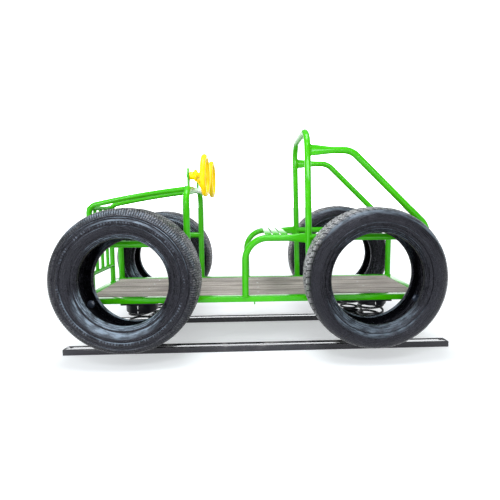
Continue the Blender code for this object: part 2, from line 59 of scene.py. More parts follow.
# Tubes
TUBE_SIDES = 28
ARC_STEP = math.radians(5)
DASH_BEND = 0.070
ROLL_BEND = 0.095
SEAT_BEND = 0.107
STAY_BEND = 0.090
FRONT_BEND = 0.060
HOOD_BEND = 0.045
HOOD_ARCH = 0.0072
HOOD_RADIUS = 0.0125
HOOD_BACK_Y = 0.165
HOOD_FRONT_Y = 0.126
HOOD_BACK_Z = 0.777
HOOD_CORNER_Z = 0.696
STAY_CORNER_X = {"near": 0.425, "far": 0.411}
STAY_FOOT_CORNER_Z = {"near": 0.597, "far": 0.571}
SEAT_FLAT = (0.098, 0.015, 0.045, 0.012)  # flattened end: starts, is full, height, thickness
STAY_FLAT = (0.120, 0.010, 0.050, 0.012)
GRILLE_RAIL_RADIUS = 0.010
GRILLE_BAR_RADIUS = 0.008
GRILLE_BAR_PITCH = 0.063
WELD_RADIUS = 0.0026
WELD_RIPPLE = 0.0036

# Floor frame
ANCHOR_INSET = 0.032
ANCHOR_RADIUS = 0.0065
ANCHOR_MOUTH = 0.0077
SEAT_PLATE_THICKNESS = 0.0077
SEAT_RING = (0.0695, 0.074)
RING_EDGE = 0.0008

# Springs
COIL_RADIUS = 0.0605
WIRE_RADIUS = 0.0055
COIL_TURNS = 5.2
COIL_START = {"front_near": 2.4}  # how far round, in radians, a wire's lower end lies
COIL_STEPS = 48
CLAMP_WALL = 0.0038
CLAMP_ROOF = 0.0032
CLAMP_SLIT = 0.028  # half the slit between its halves, in radians

# Tyres: bead radius and style of each
TYRE_STYLES = {
    "front_near": (0.1854, "commercial"),
    "front_far": (0.1775, "commercial"),
    "rear_near": (0.2019, "touring"),
    "rear_far": (0.2019, "touring"),
}
# Half the tread's width, length of one pitch and depth of the cuts, and for each row of blocks where the cut
# starts and ends, in pitches, and its share of that depth
TREADS = {
    "commercial": (
        (0.0842, 0.0105, 0.0036),
        {"outer": ((0.05, 0.42), 1.0), "middle": ((0.53, 0.88), 0.9), "inner": ((0.05, 0.42), 0.8)},
    ),
    "touring": (
        (0.0785, 0.0295, 0.0060),
        {"outer": ((0.02, 0.18), 1.0), "middle": ((0.02, 0.18), 1.0), "inner": ((0.42, 0.56), 0.7)},
    ),
}
CUT_WALL = 0.035
# Share of the tread's dust on its shoulders
SHOULDER_DUST = {"commercial": 0.35, "touring": 0.12}
# Half a tyre's outside as (share of the way from bead to tread, distance from its middle plane)
SIDEWALLS = {
    "commercial": (
        (0.000, 0.0555), (0.004, 0.0605), (0.016, 0.0640), (0.030, 0.0660), (0.042, 0.0645), (0.056, 0.0655),
        (0.074, 0.0690), (0.088, 0.0676), (0.102, 0.0684), (0.122, 0.0720), (0.136, 0.0704), (0.160, 0.0716),
        (0.196, 0.0710), (0.208, 0.0734), (0.270, 0.0782), (0.340, 0.0828), (0.400, 0.0858), (0.438, 0.0866),
        (0.450, 0.0836), (0.500, 0.0846), (0.512, 0.0880), (0.548, 0.0896), (0.576, 0.0900), (0.596, 0.0893),
        (0.648, 0.0850), (0.660, 0.0846), (0.700, 0.0850), (0.714, 0.0826), (0.760, 0.0818), (0.800, 0.0802),
        (0.840, 0.0762),
    ),
    "touring": (
        (0.000, 0.0555), (0.004, 0.0610), (0.022, 0.0655), (0.042, 0.0685), (0.058, 0.0674), (0.074, 0.0690),
        (0.096, 0.0726), (0.112, 0.0710), (0.134, 0.0730), (0.160, 0.0766), (0.176, 0.0752), (0.220, 0.0778),
        (0.262, 0.0802), (0.272, 0.0778), (0.296, 0.0782), (0.306, 0.0820), (0.340, 0.0848), (0.380, 0.0868),
        (0.412, 0.0884), (0.426, 0.0862), (0.470, 0.0880), (0.540, 0.0895), (0.600, 0.0900), (0.680, 0.0892),
        (0.760, 0.0866), (0.800, 0.0846), (0.850, 0.0806), (0.884, 0.0766),
    ),
}  # fmt: skip
SERRATED = {"commercial": (0.512, 0.585)}  # where fine radial ribs stand on the wall
CAVITY = (
    (0.870, 0.000), (0.870, 0.035), (0.850, 0.052), (0.800, 0.068), (0.680, 0.0780), (0.4745, 0.0812),
    (0.300, 0.0735), (0.180, 0.0630), (0.100, 0.0560), (0.040, 0.0490),
)  # fmt: skip
CROWN = (
    (0.730, 0.0852), (0.800, 0.0830), (0.880, 0.0770), (0.930, 0.0700), (0.965, 0.0600), (0.985, 0.0480),
    (0.997, 0.0280), (1.0, 0.0),
)  # fmt: skip
CROWN_BASE = ((0.900, 0.0700), (0.955, 0.0500), (0.966, 0.0250))
# Inner edge, outer edge and depth of the round grooves on each side
TREAD_GROOVES = ((0.0100, 0.0165, 0.0055), (0.0345, 0.0405, 0.0055), (0.0585, 0.0612, 0.0030))
SHOULDER_STEPS = (0.0822, 0.0795, 0.0765, 0.0725, 0.0675, 0.0625)
GROOVE_WALL = 0.0007
SLANT = 9.0  # pitches a cut runs round for each metre across
RIB_SPACING = 0.0125
INNER_SAG = {"front_near": (0.012, -0.015)}  # how far the bead on the deck's side sits off centre
TREAD_SKIRT = 0.010

# Tyre bolts
SPACER_RADIUS = 0.009
SPACER_LENGTH = 0.008
SHANK_RADIUS = 0.005

# Planks
PLANK_INSET = 0.0013
STUD_RADIUS = 0.0030
STUD_DROP = 0.016
STUD_AHEAD = 0.018  # of the middle bearer
RIB_PITCH = 0.0098
RIB_DEPTH = 0.0009

# Steering wheels
RIM_HALF_DEPTH = 0.013
RIM_HALF_WIDTH = 0.013
HUB_BASE = ((0, -0.0725), (0.0185, -0.0725), (0.020, -0.071), (0.020, -0.0525), (0.024, -0.051))
HUB_SHOULDER = ((0.030, -0.0485), (0.0305, -0.045), (0.029, -0.0405))
HUB_CAP = ((0.022, -0.036), (0.012, -0.031), (0, -0.029))
SPOKE_ANGLES = (-90, 0, 90)  # from straight down, in degrees


# ---------------------------------------------------------------- shapes


def circle(count):
    """Angles all round."""
    return [math.tau * n / count for n in range(count)]


DOME_ANGLES = [math.pi / 16 * k for k in range(8)]


class Shape:
    """Points and faces that grow into one mesh."""

    def __init__(self):
        self.points = []
        self.faces = []

    def add(self, points, faces):
        first = len(self.points)
        self.points.extend(tuple(p) for p in points)
        self.faces.extend(tuple(first + k for k in face) for face in faces)

    def skin(self, rings, loop=False, caps=True):
        """Joins rings of as many points each. A loop's last ring meets its first."""
        count, sides = len(rings), len(rings[0])
        faces = []
        for k in range(count if loop else count - 1):
            here, there = k * sides, (k + 1) % count * sides
            for n in range(sides):
                after = (n + 1) % sides
                faces.append((here + n, here + after, there + after, there + n))
        if caps and not loop:
            faces.append(tuple(range(sides))[::-1])
            faces.append(tuple((count - 1) * sides + n for n in range(sides)))
        self.add([p for ring in rings for p in ring], faces)

    def revolve(self, profile, steps, axis=(0, 0, 1), place=(0, 0, 0), arc=None):
        """(radius, height) points turned about an axis through a place, all round or over an arc."""
        tip = Vector((0, 0, 1)).rotation_difference(Vector(axis)).to_matrix().to_4x4()
        aim = Matrix.Translation(place) @ tip
        start, stop = arc or (0, 2 * math.pi)
        rings = []
        for k in range(steps + 1 if arc else steps):
            angle = start + (stop - start) * k / steps
            turn = Vector((math.cos(angle), math.sin(angle)))
            rings.append([aim @ Vector((r * turn.x, r * turn.y, h)) for r, h in profile])
        self.skin(rings, loop=not arc)

    def block(self, low, high, bevel, segments=3):
        """A box with rounded edges."""
        bm = bmesh.new()
        bmesh.ops.create_cube(bm, size=1.0)
        low, high = Vector(low), Vector(high)
        bm.transform(Matrix.Translation((low + high) / 2) @ Matrix.Diagonal((*(high - low), 1.0)))
        bmesh.ops.bevel(bm, geom=bm.edges[:], offset=bevel, segments=segments, affect="EDGES", profile=0.5)
        self.take(bm)

    def take(self, bm):
        bm.verts.index_update()
        self.add([v.co for v in bm.verts], [[v.index for v in f.verts] for f in bm.faces])
        bm.free()

    def piece(self, name, material, body, nodes=(), slot=None, sharp=40):
        """Makes the mesh a piece that rides on a body and stands for CAD nodes."""
        bm = bmesh.new()
        verts = [bm.verts.new(p) for p in self.points]
        for face in self.faces:
            corners = list(dict.fromkeys(verts[k] for k in face))
            if len(corners) > 2:
                bm.faces.new(corners)
        bmesh.ops.remove_doubles(bm, verts=bm.verts, dist=1e-7)
        bmesh.ops.recalc_face_normals(bm, faces=bm.faces)
        mesh = bpy.data.meshes.new(name)
        bm.to_mesh(mesh)
        bm.free()
        return finish_piece(mesh, name, material, body, nodes, sharp)


def coated(shape, name, green, *nodes):
    """Makes the shape a green piece on the platform."""
    return shape.piece(name, green, "platform", nodes, "green_steel")


def plain_block(name, node, bevel, material, slot):
    """A block with rounded edges in place of a CAD block on the platform."""
    low, high, _ = size_of(node)
    block = Shape()
    block.block(low, high, bevel)
    block.piece(name, material, "platform", [node], slot)


def finish_piece(mesh, name, material, body, nodes, sharp, place=(0, 0, 0)):
    obj = bpy.data.objects.new(name, mesh)
    obj.location = place
    bpy.context.scene.collection.objects.link(obj)
    mesh.shade_smooth()
    mesh.set_sharp_from_angle(angle=math.radians(sharp))
    mesh.materials.append(material)
    if body:
        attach(obj, body)
    if nodes:
        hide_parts(*nodes)
    return obj


def rounded(points, bends):
    """The polyline through the points, with each inner corner bent to its radius."""
    points = [Vector(point) for point in points]
    path = [points[0]]
    for before, corner, after, radius in zip(points, points[1:], points[2:], bends):
        if not radius:
            path.append(corner)
            continue
        back = (before - corner).normalized()
        on = (after - corner).normalized()
        turn = math.pi - back.angle(on)
        centre = corner + (back + on).normalized() * radius / math.cos(turn / 2)
        start = corner + back * radius * math.tan(turn / 2) - centre
        end = corner + on * radius * math.tan(turn / 2) - centre
        steps = max(2, round(turn / ARC_STEP))
        for k in range(steps + 1):
            path.append(centre + Matrix.Rotation(turn * k / steps, 3, start.cross(end)) @ start)
    return path + [points[-1]]


def smooth_step(share):
    share = min(1.0, max(0.0, share))
    return share * share * (3 - 2 * share)


def section(half_side, half_up, sides):
    """A round bar pressed flat: half circles joined by straight sides, as (side, up) offsets."""
    flat = half_up - half_side
    ring = []
    for n in range(sides):
        angle = 2 * math.pi * (n + 0.5) / sides
        lift = flat if math.sin(angle) > 0 else -flat
        ring.append((half_side * math.cos(angle), half_side * math.sin(angle) + lift))
    return ring


def tube_rings(path, radius, across, flat=None, sides=TUBE_SIDES, loop=False, swell=None):
    path = [Vector(point) for point in path]
    across = Vector(across)
    if flat:
        starts, full, tall, thick = flat
        last = (path[-1] - path[-2]).normalized()
        cuts = [starts + (full - starts) * k / 8 for k in range(9)]
        path[-1:] = [path[-1] - last * cut for cut in cuts] + [path[-1]]
    rings = []
    for k, point in enumerate(path):
        before = point - path[k - 1] if k or loop else Vector()
        after = path[(k + 1) % len(path)] - point if k + 1 < len(path) or loop else Vector()
        ahead = (before.normalized() + after.normalized()).normalized()
        side = (across - ahead * ahead.dot(across)).normalized()
        up = ahead.cross(side)
        half_side = half_up = radius * (swell(k) if swell else 1)
        if flat:
            share = smooth_step((starts - (path[-1] - point).length) / (starts - full))
            half_side += (thick / 2 - radius) * share
            half_up += (tall / 2 - radius) * share
        rings.append([point + side * a + up * b for a, b in section(half_side, half_up, sides)])
    return rings


def tube(path, radius, across=(0, 1, 0), flat=None, sides=TUBE_SIDES):
    shape = Shape()
    shape.skin(tube_rings(path, radius, across, flat, sides))
    return shape


class Welds(Shape):
    """Rippled weld beads that run round joints between tubes."""

    def bead(self, curve, centre):
        """Lays a bead along a closed curve, which is a function from 0 to 1."""
        rough = [Vector(curve(k / 48)) for k in range(48)]
        length = sum((rough[k] - rough[k - 1]).length for k in range(48))
        ripples = max(8, round(length / WELD_RIPPLE))
        count = ripples * 4
        path = [Vector(curve(k / count)) for k in range(count)]
        phase = math.tau / 4
        rings = []
        for k, point in enumerate(path):
            ahead = (path[(k + 1) % count] - path[k - 1]).normalized()
            out = point - Vector(centre)
            out = (out - ahead * ahead.dot(out)).normalized()
            up = ahead.cross(out)
            size = WELD_RADIUS * (1 + 0.16 * math.cos(phase * k) + 0.10 * math.sin(k * 0.37))
            rings.append([point + size * (out * math.cos(a) + up * math.sin(a)) for a in circle(8)])
        self.skin(rings, loop=True)

    def foot(self, x, y, z, radius):
        """Round a tube that stands on a flat face."""

        def curve(t):
            return x + radius * math.cos(math.tau * t), y + radius * math.sin(math.tau * t), z

        self.bead(curve, (x, y, z))

    def saddle(self, centre, run, axis, main_radius, half_along, half_across):
        """Round a tube that runs off another tube, whose own axis goes through the centre."""
        centre, run, axis = Vector(centre), Vector(run), Vector(axis)
        across = run.cross(axis)

        def curve(t):
            angle = math.tau * t
            flat = half_along - half_across
            along = half_across * math.sin(angle) + (flat if math.sin(angle) > 0 else -flat)
            sideways = half_across * math.cos(angle)
            depth = math.sqrt(max(0.0, main_radius**2 - sideways**2))
            return centre + run * depth + axis * along + across * sideways

        self.bead(curve, centre)


# ---------------------------------------------------------------- materials


class Nodes:
    """A node tree with short calls for its nodes."""

    def __init__(self, tree):
        self.tree = tree

    def put(self, socket, value):
        if isinstance(value, bpy.types.NodeSocket):
            self.tree.links.new(value, socket)
        elif isinstance(value, tuple) and len(value) == 3 and socket.type == "RGBA":
            socket.default_value = (*value, 1.0)
        else:
            socket.default_value = value

    def node(self, kind, out, settings=None, **inputs):
        made = self.tree.nodes.new("ShaderNode" + kind)
        for key, value in (settings or {}).items():
            setattr(made, key, value)
        for key, value in inputs.items():
            self.put(made.inputs[1] if key == "Vector_001" else made.inputs[key.replace("_", " ")], value)
        return made.outputs[out]

    def place(self, scale=(1, 1, 1)):
        where = self.node("TexCoord", "Object")
        return self.node("Mapping", "Vector", Vector=where, Scale=scale)

    def noise(self, scale, detail=3.0, roughness=0.5, stretch=(1, 1, 1)):
        where = self.place(stretch)
        return self.node("TexNoise", "Fac", Vector=where, Scale=scale, Detail=detail, Roughness=roughness)

    def polar(self, around, outward):
        """Coordinates about the object's Y axis: a seamless turn and the distance outward."""
        x, _, z = self.node("SeparateXYZ", "X", Vector=self.node("TexCoord", "Object")).node.outputs
        flat = self.node("CombineXYZ", "Vector", X=x, Z=z)
        radius = self.node("VectorMath", "Value", {"operation": "LENGTH"}, Vector=flat)
        turn = self.node("VectorMath", "Vector", {"operation": "NORMALIZE"}, Vector=flat)
        wide = self.node("Mapping", "Vector", Vector=turn, Scale=(around, 1, around))
        a, _, c = self.node("SeparateXYZ", "X", Vector=wide).node.outputs
        return self.node("CombineXYZ", "Vector", X=a, Y=self.times(radius, outward), Z=c), radius

    def facing(self, way):
        """How far the surface faces a way, from -1 to 1."""
        normal = self.node("NewGeometry", "Normal")
        return self.node("VectorMath", "Value", {"operation": "DOT_PRODUCT"}, Vector=normal, Vector_001=way)

    def span(self, value, low, high, to_low=0.0, to_high=1.0):
        made = self.tree.nodes.new("ShaderNodeMapRange")
        made.interpolation_type = "SMOOTHSTEP"
        numbers = (value, low, high, to_low, to_high)
        for key, number in zip(("Value", "From Min", "From Max", "To Min", "To Max"), numbers):
            self.put(made.inputs[key], number)
        return made.outputs["Result"]

    def maths(self, operation, a, b=0.0):
        made = self.tree.nodes.new("ShaderNodeMath")
        made.operation = operation
        self.put(made.inputs[0], a)
        self.put(made.inputs[1], b)
        return made.outputs[0]

    def times(self, a, b):
        return self.maths("MULTIPLY", a, b)

    def plus(self, a, b):
        return self.maths("ADD", a, b)

    def mix(self, share, a, b):
        made = self.tree.nodes.new("ShaderNodeMix")
        made.data_type = "RGBA"
        self.put(made.inputs["Factor"], share)
        self.put(made.inputs[6], a)
        self.put(made.inputs[7], b)
        return made.outputs[2]


class Paint(Nodes):
    """A Principled BSDF material."""

    def __init__(self, name, **values):
        self.material = bpy.data.materials.new(name)
        self.material.use_nodes = True
        super().__init__(self.material.node_tree)
        self.shader = self.tree.nodes["Principled BSDF"]
        for socket, value in values.items():
            self.put(self.shader.inputs[socket.replace("_", " ")], value)

    def set(self, socket, value):
        self.put(self.shader.inputs[socket], value)

    def bump(self, height, strength, distance):
        normal = self.node("Bump", "Normal", Height=height, Strength=strength, Distance=distance)
        self.set("Normal", normal)

    def tones(self, scale, detail, dark, light):
        """Base colour that drifts between two tones."""
        self.set("Base Color", self.mix(self.span(self.noise(scale, detail), 0.35, 0.65), dark, light))

    def gloss(self, scale, low, high):
        """Roughness that drifts between two values."""
        self.set("Roughness", self.span(self.noise(scale), 0.3, 0.7, low, high))

    def grain(self, scale, strength, distance):
        self.bump(self.noise(scale, 2.0), strength, distance)


def green_powder_coat():
    """Glossy lime powder coat: a faint orange peel, uneven gloss and a few rubbed patches."""
    coat = {"Coat_Weight": 0.40, "Coat_Roughness": 0.03}
    paint = Paint("green_powder_coat", IOR=1.45, Specular_IOR_Level=0.10, **coat)
    tone = paint.span(paint.noise(7.0, 4.0), 0.35, 0.65)
    base = paint.mix(tone, (0.034, 0.355, 0.000), (0.046, 0.410, 0.001))
    rubbed = paint.span(paint.noise(38.0, 6.0, 0.7), 0.66, 0.78)
    paint.set("Base Color", paint.mix(paint.times(rubbed, 0.5), base, (0.09, 0.52, 0.03)))
    gloss = paint.span(paint.noise(22.0, 3.0), 0.3, 0.7, 0.24, 0.36)
    paint.set("Roughness", paint.plus(gloss, paint.times(rubbed, 0.12)))
    peel = paint.noise(520.0, 2.0)
    waves = paint.noise(60.0, 2.0)
    paint.bump(paint.plus(peel, paint.times(waves, 0.6)), 0.05, 0.0004)
    return paint.material


def black_gloss():
    """Gloss black paint on the floor rails, with grey dust and fine scratches along the rails, kept mostly to
    the top faces, where their light grey is partly real dust and partly a painted reflection of the glossy
    tops.
    """
    paint = Paint("black_gloss", IOR=1.45, Coat_Weight=0.3, Coat_Roughness=0.05)
    dust = paint.span(paint.noise(14.0, 6.0, 0.65), 0.45, 0.75)
    scratch = paint.span(paint.noise(9.0, 4.0, 0.6, (2.0, 60.0, 60.0)), 0.56, 0.70)
    # Partly painted reflection: dust and scratches are kept mostly to the top faces, whose light grey stands
    # in for the glossy tops' bright reflection as well as for dust.
    top = paint.span(paint.facing((0, 0, 1)), 0.5, 0.95, 0.12, 1.0)
    share = paint.maths("MAXIMUM", paint.times(dust, 0.60), paint.times(scratch, 0.30))
    share = paint.times(share, top)
    paint.set("Base Color", paint.mix(share, (0.010, 0.009, 0.014), (0.40, 0.37, 0.36)))
    paint.set("Roughness", paint.span(dust, 0.0, 1.0, 0.13, 0.26))
    paint.grain(240.0, 0.06, 0.0005)
    return paint.material


def black_satin():
    """Satin black paint on the plates, clamps and bearers."""
    paint = Paint("black_satin", IOR=1.5, Specular_IOR_Level=0.25)
    dust = paint.span(paint.noise(20.0, 6.0, 0.6), 0.45, 0.80)
    paint.set("Base Color", paint.mix(paint.times(dust, 0.03), (0.006, 0.006, 0.008), (0.30, 0.28, 0.26)))
    paint.gloss(30.0, 0.30, 0.46)
    paint.grain(420.0, 0.12, 0.0006)
    return paint.material


def spring_paint():
    """Thick black paint on the springs, with worn steel showing in small spots."""
    paint = Paint("spring_paint", IOR=1.5, Coat_Weight=0.3, Coat_Roughness=0.2)
    worn = paint.span(paint.noise(70.0, 6.0, 0.7), 0.68, 0.76)
    paint.set("Base Color", paint.mix(worn, (0.010, 0.010, 0.012), (0.10, 0.095, 0.09)))
    paint.gloss(45.0, 0.26, 0.42)
    paint.bump(paint.noise(160.0, 3.0), 0.15, 0.0008)
    return paint.material


def tyre_rubber(style, highlight_share, crumbs, lit_side):
    """Used rubber: dust on the tread blocks, painted lighter on the side that faces the light; moulded rings;
    painted bluish highlights on the up-facing sidewall slopes and on the rib tops; and glossy and dull
    streaks round the sidewalls.
    """
    paint = Paint(f"{style}_rubber", IOR=1.50, Specular_IOR_Level=0.34, Specular_Tint=(0.86, 0.86, 1.0))
    zones = paint.node("Attribute", "Color", {"attribute_name": "tyre_zones"})
    tread, groove, band = paint.node("SeparateColor", "Red", Color=zones).node.outputs
    ring, radius = paint.polar(5.0, 130.0)
    swirl = paint.node("TexNoise", "Fac", Vector=ring, Scale=1.0, Detail=5.0, Roughness=0.62)
    streak = paint.span(swirl, 0.34, 0.66)
    mottled = paint.span(paint.noise(26.0, 6.0, 0.65), 0.35, 0.70)
    fine = paint.noise(150.0, 4.0, 0.6)
    clean = paint.mix(mottled, (0.0018, 0.0017, 0.0026), (0.0056, 0.0054, 0.0076))
    dust_and_highlight = paint.mix(paint.span(fine, 0.35, 0.65), (0.115, 0.112, 0.114), (0.540, 0.530, 0.535))
    share = paint.times(tread, paint.span(paint.noise(48.0, 6.0, 0.7), 0.25, 0.70, 0.8 * crumbs, 0.95))
    # Painted highlight: bluish grey on the sidewall slopes that face up towards the lamps, broken up by the
    # streaks and left off the tread.
    up = paint.facing((0.22, 0.0, 0.975))
    # Painted highlight: the tread dust is painted lighter on the side that faces the light.
    share = paint.times(share, paint.span(paint.facing(lit_side), -0.20, 0.70, 0.10, 1.0))
    share = paint.times(share, paint.span(paint.noise(95.0, 2.0), 0.40, 0.56, crumbs, 1.0))
    sheen_highlight = paint.times(paint.span(up, 0.22, 0.50), paint.span(streak, 0.0, 1.0, 1.0, 0.20))
    sheen_highlight = paint.times(sheen_highlight, paint.maths("SUBTRACT", 1.0, tread))
    sheen_highlight = paint.times(sheen_highlight, highlight_share)
    # Painted highlight: the rib tops get a lighter bluish grey.
    ribbed = paint.times(band, paint.span(paint.noise(34.0, 2.0), 0.42, 0.60))
    wall = paint.mix(sheen_highlight, paint.mix(ribbed, clean, (0.070, 0.082, 0.100)), (0.200, 0.250, 0.300))
    # The sidewall with its painted highlights, and the tread dust, which is partly painted highlight.
    worn = paint.mix(share, wall, dust_and_highlight)
    paint.set("Base Color", paint.mix(paint.times(groove, 0.95), worn, (0.004, 0.004, 0.004)))
    rough = paint.span(paint.times(streak, paint.span(mottled, 0.0, 1.0, 0.6, 1.0)), 0.0, 1.0, 0.10, 0.36)
    paint.set("Roughness", paint.plus(rough, paint.times(tread, 0.26)))
    rings = paint.maths("SINE", paint.times(radius, math.tau / 0.0075))
    ribs = paint.times(paint.noise(160.0, 3.0, 0.6), paint.plus(paint.times(band, 1.6), 0.9))
    relief = paint.plus(paint.times(fine, 0.30), ribs)
    relief = paint.plus(relief, paint.times(streak, 0.80))
    relief = paint.plus(relief, paint.times(rings, 0.22))
    paint.bump(relief, 0.80, 0.0022)
    return paint.material


def yellow_plastic():
    """Moulded yellow plastic with a fine grain."""
    soft = {"Subsurface_Weight": 0.12, "Subsurface_Scale": 0.01}
    paint = Paint("yellow_plastic", IOR=1.49, Specular_IOR_Level=0.25, **soft)
    paint.set("Subsurface Radius", (1.0, 0.6, 0.1))
    paint.tones(18.0, 3.0, (0.93, 0.60, 0.0), (0.97, 0.66, 0.0))
    paint.gloss(60.0, 0.26, 0.36)
    paint.grain(700.0, 0.10, 0.0004)
    return paint.material


def composite_plank():
    """Wood-plastic board: brown-grey, streaked and rubbed along its length, with painted shade: every face
    but the top is near black, so the gaps between boards read dark.
    """
    paint = Paint("composite_plank", IOR=1.45)
    streak = paint.span(paint.noise(5.0, 8.0, 0.65, (1.2, 70.0, 30.0)), 0.30, 0.70)
    patch = paint.span(paint.noise(3.5, 4.0, 0.6, (1.0, 6.0, 1.0)), 0.35, 0.65)
    light = paint.mix(streak, (0.270, 0.228, 0.204), (0.780, 0.690, 0.625))
    grime = paint.mix(streak, (0.180, 0.153, 0.140), (0.540, 0.475, 0.430))
    # Painted shade: all faces but the top get near black, standing in for the shade in the gaps between
    # boards.
    top = paint.span(paint.facing((0, 0, 1)), 0.55, 0.98)
    paint.set("Base Color", paint.mix(top, (0.020, 0.018, 0.017), paint.mix(patch, light, grime)))
    paint.set("Roughness", paint.span(streak, 0.0, 1.0, 0.62, 0.82))
    paint.bump(paint.noise(8.0, 8.0, 0.7, (2.0, 90.0, 60.0)), 0.30, 0.0010)
    return paint.material


def zinc_steel():
    """Bright zinc plate with a faint grain."""
    paint = Paint("zinc_steel", Metallic=1.0)
    paint.tones(90.0, 4.0, (0.50, 0.52, 0.56), (0.74, 0.76, 0.80))
    paint.gloss(140.0, 0.22, 0.40)
    paint.grain(400.0, 0.08, 0.0004)
    return paint.material


def cap_plastic():
    """Dark grey plastic of the dome caps over the tyre bolts."""
    paint = Paint("cap_plastic", IOR=1.6, Metallic=0.35, Coat_Weight=1.0, Coat_Roughness=0.05)
    paint.tones(40.0, 3.0, (0.045, 0.058, 0.085), (0.090, 0.110, 0.150))
    paint.gloss(60.0, 0.18, 0.30)
    paint.grain(500.0, 0.10, 0.0004)
    return paint.material


# ---------------------------------------------------------------- pieces


def size_of(node):
    low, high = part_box(node)
    return low, high, (low + high) / 2


def build_base(gloss, satin):
    """Floor rails with rounded edges and drilled ends, cross plates and the rings that seat the springs."""
    for side, _ in SIDES:
        low, high, middle = size_of(f"base_rail_{side}")
        rail = Shape()
        rail.block(low, high, 0.0022)
        obj = rail.piece(f"floor_rail_{side}", gloss, "base", [f"base_rail_{side}"], "black_steel")
        bore = [(0, low.z - 0.01), (ANCHOR_RADIUS, low.z - 0.01), (ANCHOR_RADIUS, high.z - 0.0012)]
        mouth = [(ANCHOR_MOUTH, high.z + 0.0003), (ANCHOR_MOUTH, high.z + 0.01), (0, high.z + 0.01)]
        for end, x in (("front", low.x + ANCHOR_INSET), ("rear", high.x - ANCHOR_INSET)):
            cut = Shape()
            cut.revolve(bore + mouth, 32, place=(x, middle.y, 0))
            helper = cut.piece(f"cut_anchor_{end}_{side}", gloss, None)
            helper.hide_render = True
            hole = obj.modifiers.new(f"anchor_{end}", "BOOLEAN")
            hole.operation = "DIFFERENCE"
            hole.object = helper
    for end in ENDS:
        low, high, middle = size_of(f"base_cross_plate_{end}")
        plate = Shape()
        top = low.z + SEAT_PLATE_THICKNESS
        inner, outer = SEAT_RING
        ring = [(inner, top - 0.002), (outer, top - 0.002), (outer, high.z - RING_EDGE)]
        ring += [(outer - RING_EDGE, high.z), (inner + RING_EDGE, high.z), (inner, high.z - RING_EDGE)]
        plate.block(low, (high.x, high.y, top), 0.0012)
        for side, _ in SIDES:
            centre = size_of(f"spring_{end}_{side}")[2]
            plate.revolve(ring, 72, place=(middle.x, centre.y, 0))
        plate.piece(f"spring_seat_{end}", satin, "base", [f"base_cross_plate_{end}"], "black_steel")


def build_springs(material):
    """Coils between the floor frame and the car."""
    for end in ENDS:
        for side, _ in SIDES:
            node = f"spring_{end}_{side}"
            low, high, _ = size_of(node)
            x = size_of(f"base_cross_plate_{end}")[2].x
            y = size_of(f"spring_top_clamp_{end}_{side}")[2].y
            bottom, top = low.z + WIRE_RADIUS, high.z - WIRE_RADIUS
            rise = (top - bottom) / COIL_TURNS / math.tau
            count = round(COIL_TURNS * COIL_STEPS)
            rings = []
            for k in range(count + 1):
                angle = COIL_START.get(f"{end}_{side}", 0.0) + math.tau * COIL_TURNS * k / count
                out = Vector((math.cos(angle), math.sin(angle), 0))
                ahead = Vector((-math.sin(angle) * COIL_RADIUS, math.cos(angle) * COIL_RADIUS, rise))
                ahead.normalize()
                up = ahead.cross(out)
                centre = Vector((x, y, bottom + (top - bottom) * k / count)) + out * COIL_RADIUS
                ring = [out * math.cos(a) + up * math.sin(a) for a in circle(16)]
                rings.append([centre + WIRE_RADIUS * offset for offset in ring])
            coil = Shape()
            coil.skin(rings)
            obj = coil.piece(f"coil_{end}_{side}", material, None, [node], "spring", 60)
            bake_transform(obj)


def build_spring_tops(satin):
    """The clamp round each spring's top, in two halves with a slit between them, and the plates over them."""
    for end in ENDS:
        plain_block(f"top_plate_{end}", f"spring_plate_{end}", 0.0012, satin, "black_steel")
        for side, _ in SIDES:
            node = f"spring_top_clamp_{end}_{side}"
            low, high, middle = size_of(node)
            outer = (high.x - low.x) / 2
            inner = outer - CLAMP_WALL
            ceiling = high.z - CLAMP_ROOF
            half = [(inner, low.z + 0.001), (inner + 0.001, low.z), (outer - 0.0015, low.z)]
            half += [(outer, low.z + 0.0015), (outer, high.z - 0.001), (outer - 0.001, high.z)]
            half += [(0.001, high.z), (0.001, ceiling), (inner, ceiling)]
            clamp = Shape()
            for start in (math.pi / 2, -math.pi / 2):
                arc = (start + CLAMP_SLIT, start + math.pi - CLAMP_SLIT)
                clamp.revolve(half, 40, place=(middle.x, middle.y, 0), arc=arc)
            hub = [(0, high.z), (0.030, high.z), (0.030, ceiling), (0, ceiling)]
            clamp.revolve(hub, 40, place=(middle.x, middle.y, 0))
            clamp.piece(f"clamp_{end}_{side}", satin, "platform", [node], "black_steel")


def build_deck(green, satin, plank, zinc):
    """Rails, ribbed planks with a screw into each bearer, and a stud under the near rail."""
    for place in ("near", "far", "front", "rear"):
        plain_block(f"side_rail_{place}", f"deck_rail_{place}", 0.0025, green, "green_steel")
    bearers = [f"deck_bearer_{place}" for place in ("front", "middle", "rear")]
    for node in bearers:
        plain_block(node.replace("deck_", "flat_"), node, 0.0008, satin, "black_steel")
    screws = Shape()
    for k in range(4):
        node = f"deck_plank_{k + 1}"
        low, high, middle = size_of(node)
        board = Shape()
        inset = Vector((0, PLANK_INSET, 0))
        outline = plank_outline(low + inset, high - inset)
        board.skin([[(x, y, z) for y, z in outline] for x in (low.x, high.x)])
        board.piece(f"plank_{k + 1}", plank, "platform", [node], "plank", 30)
        for bearer in bearers:
            x = size_of(bearer)[2].x
            head = [(0, high.z - 0.004), (0.0048, high.z - 0.004), (0.0052, high.z - 0.0006)]
            head += [(0.0046, high.z + 0.0004), (0.0016, high.z + 0.0006)]
            head += [(0.0012, high.z - 0.0008), (0, high.z - 0.0010)]
            screws.revolve(head, 20, place=(x, middle.y, 0))
    screws.piece("plank_screws", zinc, "platform", slot="bolt")
    low, _, middle = size_of("deck_rail_near")
    stud = Shape()
    root, tip = low.z + 0.002, low.z - STUD_DROP
    profile = [(0, root), (STUD_RADIUS, root), (STUD_RADIUS, tip), (0.0024, tip - 0.0006), (0, tip - 0.0006)]
    stud.revolve(profile, 16, place=(size_of(bearers[1])[2].x - STUD_AHEAD, middle.y, 0))
    coated(stud, "bearer_stud", green)


